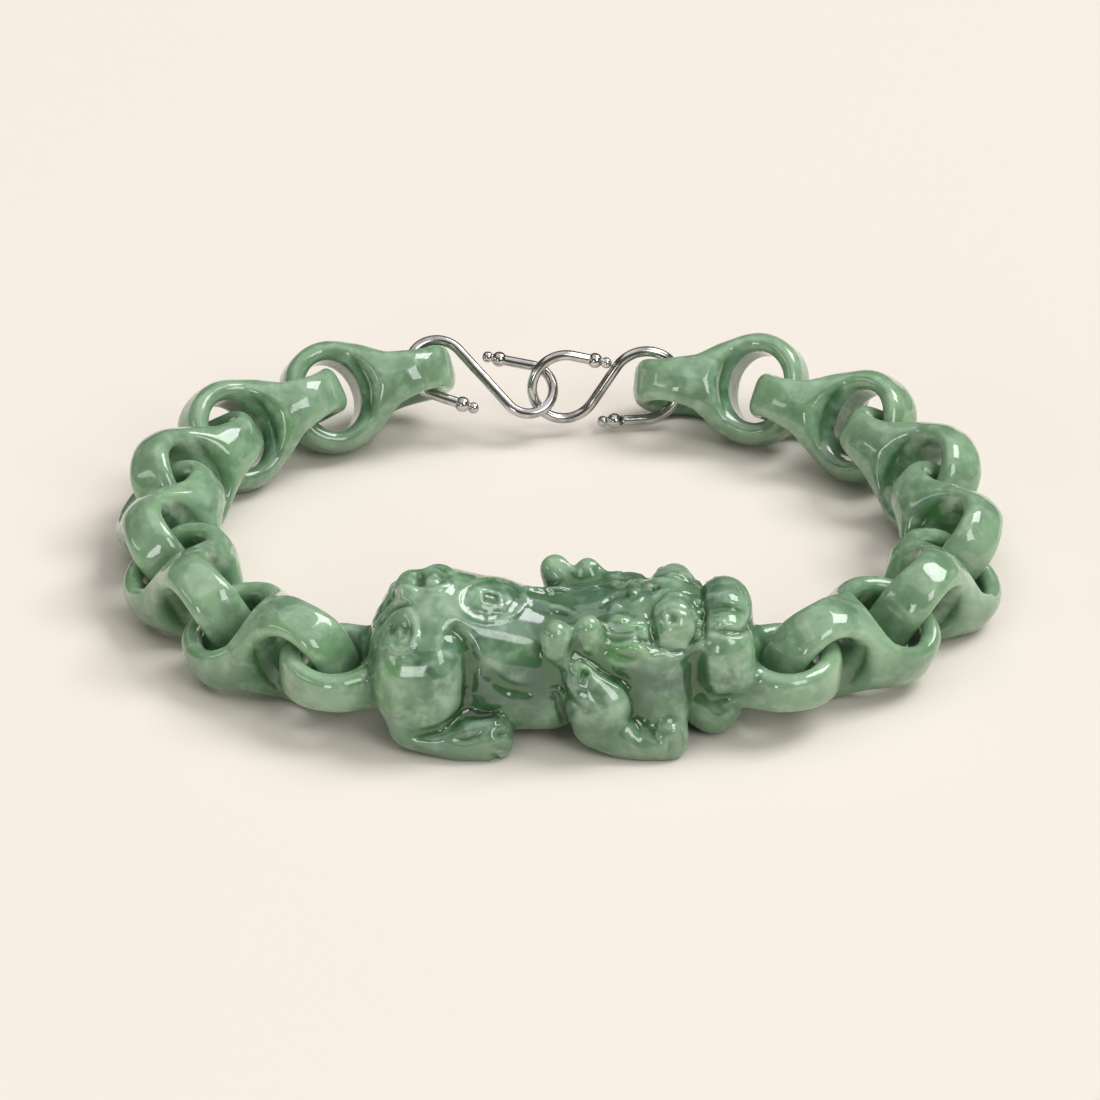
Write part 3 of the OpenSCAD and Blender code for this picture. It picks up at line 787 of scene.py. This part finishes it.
def wire_rings(bend):
    """Place, direction and radius of each ring of the hook: ball and bead, wire, ball and bead."""
    path = wire_path(bend)
    ways = np.gradient(path, axis=0)
    ways /= np.linalg.norm(ways, axis=1)[:, None]

    def end_rings(tip, way):
        rings = []
        start = math.asin(WIRE / BALL)
        for angle in np.linspace(start, math.radians(BALL_STOPS), END_RINGS):
            rings.append((tip - way * BALL / 2 * math.cos(angle), way, BALL / 2 * math.sin(angle)))
        for angle in np.radians(np.linspace(BEAD_STARTS, BEAD_STOPS, END_RINGS)):
            out = BEAD_STAND * (BALL + BEAD) - BEAD / 2 * math.cos(angle)
            rings.append((tip + way * out, way, BEAD / 2 * math.sin(angle)))
        return rings

    near_end = [(at, -way, r) for at, way, r in end_rings(path[0], -ways[0])][::-1]
    wire = [(at, way, WIRE / 2) for at, way in zip(path, ways)][1:-1]
    return near_end + wire + end_rings(path[-1], ways[-1])


BRIGHT_SILVER, DULL_SILVER = (206, 205, 203), (150, 148, 145)


def make_silver():
    material, nodes, links = new_material("polished_silver")
    shader = nodes["Principled BSDF"]
    place = nodes.new("ShaderNodeTexCoord").outputs["Object"]
    tarnish = spread(nodes, links, noise(nodes, links, place, 1.6, 4), 0.4, 0.75)
    colour = blend_colour(nodes, links, tarnish, tone(*BRIGHT_SILVER), tone(*DULL_SILVER))
    links.new(colour, shader.inputs["Base Color"])
    links.new(spread(nodes, links, tarnish, 0, 1, 0.12, 0.25), shader.inputs["Roughness"])
    shader.inputs["Metallic"].default_value = 1.0
    return material


silver = make_silver()


def lay_hook(side, bend, at, lean, mirror):
    vertices, faces = [], []
    rings = wire_rings(bend)
    for at_ring, way, radius in rings:
        across = np.array((-way[1], way[0]))
        for k in range(WIRE_SIDES):
            angle = 2 * math.pi * k / WIRE_SIDES
            out = at_ring + across * radius * math.cos(angle)
            vertices.append((out[0] * MM, out[1] * MM, radius * math.sin(angle) * MM))
    for i in range(len(rings) - 1):
        for k in range(WIRE_SIDES):
            here, beside = i * WIRE_SIDES + k, i * WIRE_SIDES + (k + 1) % WIRE_SIDES
            faces.append((here, beside, beside + WIRE_SIDES, here + WIRE_SIDES))
    faces.append(tuple(reversed(range(WIRE_SIDES))))
    faces.append(tuple(len(vertices) - WIRE_SIDES + k for k in range(WIRE_SIDES)))
    mesh = bpy.data.meshes.new(f"{side}_hook_wire")
    mesh.from_pydata(vertices, [], faces)
    flip = Matrix.Scale(-1, 4, (1, 0, 0)) if mirror else Matrix.Identity(4)
    stand = turn(HOOK_HEADING, "Z") @ turn(90 - lean, "X")
    place = Matrix.Translation(Vector((PIXIU_AT[0] + at[0], PIXIU_AT[1] + at[1], at[2])) * MM)
    mesh.transform(place @ stand @ flip @ turn(bend[TURN], "Z"))
    if mirror:
        mesh.flip_normals()
    mesh.shade_smooth()
    mesh.materials.append(silver)
    hook = bpy.data.objects.new(f"{side}_hook_wire", mesh)
    bpy.context.scene.collection.objects.link(hook)
    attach(hook, "root")
    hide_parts(f"{side}_hook")


lay_hook("left", LEFT_BEND, LEFT_HOOK_AT, LEFT_LEAN, False)
lay_hook("right", RIGHT_BEND, RIGHT_HOOK_AT, RIGHT_LEAN, True)

# The floor is a sheet of plain cream paper, matt and unmarked. It lies flat and reaches well
# past the picture on every side, so that no edge of it shows.
FLOOR_HALF = 1.5
PAPER = (248, 240, 231)


def make_paper():
    material, nodes, links = new_material("cream_paper")
    shader = nodes["Principled BSDF"]
    shader.inputs["Base Color"].default_value = tone(*PAPER)
    shader.inputs["Roughness"].default_value = 0.9
    shader.inputs["Specular IOR Level"].default_value = 0.1
    return material


corners = [(x * FLOOR_HALF, y * FLOOR_HALF, 0) for x, y in ((-1, -1), (1, -1), (1, 1), (-1, 1))]
floor_mesh = bpy.data.meshes.new("floor")
floor_mesh.from_pydata(corners, [], [(0, 1, 2, 3)])
floor_mesh.materials.append(make_paper())
floor = bpy.data.objects.new("floor", floor_mesh)
bpy.context.scene.collection.objects.link(floor)

# Studio light: a wide white cloth overhead, the key softbox at the right, one in front of it,
# a small window low in front, a strip at the left, and a dim tent all round.
LIGHT_DISTANCE = 4.0
# Each box: its name, its direction from the bracelet, width and height in metres, and watts
SOFTBOXES = (
    ("cloth", (0, 0, 1), 6, 6, 88),
    ("key", (0.56, 0.16, 0.81), 2.0, 2.2, 86),
    ("front_right", (0.48, -0.66, 0.58), 1.5, 2.0, 38),
    ("window", (-0.37, -0.91, 0.2), 0.8, 1.2, 14),
    ("left_strip", (-0.87, -0.35, 0.34), 2.4, 0.6, 10),
)
TENT = tone(252, 238, 224)
TENT_STRENGTH = 0.12


def hang_softbox(name, direction, wide, tall, watts):
    data = bpy.data.lights.new(name, "AREA")
    data.shape = "RECTANGLE"
    data.size = wide
    data.size_y = tall
    data.energy = watts
    box = bpy.data.objects.new(name, data)
    bpy.context.scene.collection.objects.link(box)
    box.location = Vector(direction).normalized() * LIGHT_DISTANCE
    box.rotation_euler = (-box.location).to_track_quat("-Z", "Y").to_euler()


for softbox in SOFTBOXES:
    hang_softbox(*softbox)

world = bpy.data.worlds.new("tent")
bpy.context.scene.world = world
world.use_nodes = True
tent = world.node_tree.nodes["Background"]
tent.inputs["Color"].default_value = TENT
tent.inputs["Strength"].default_value = TENT_STRENGTH
bpy.context.scene.view_settings.view_transform = "Standard"

# The camera stands on the pixiu's own side, a little above it, and looks down across the
# bracelet to the clasp at the back. Its long lens keeps the far links nearly as large.
CAMERA_ELEVATION = 29.16
CAMERA_DISTANCE = 0.42296
CAMERA_AIM = Vector((-0.00072, -0.00397, 0.0046))
CAMERA_LENS = 153.95

camera_data = bpy.data.cameras.new("camera")
camera = bpy.data.objects.new("camera", camera_data)
bpy.context.scene.collection.objects.link(camera)
bpy.context.scene.camera = camera
camera_data.sensor_width = 36
camera_data.lens = CAMERA_LENS
rise = math.radians(CAMERA_ELEVATION)
camera.location = CAMERA_AIM + CAMERA_DISTANCE * Vector((0, -math.cos(rise), math.sin(rise)))
camera.rotation_euler = (CAMERA_AIM - camera.location).to_track_quat("-Z", "Y").to_euler()
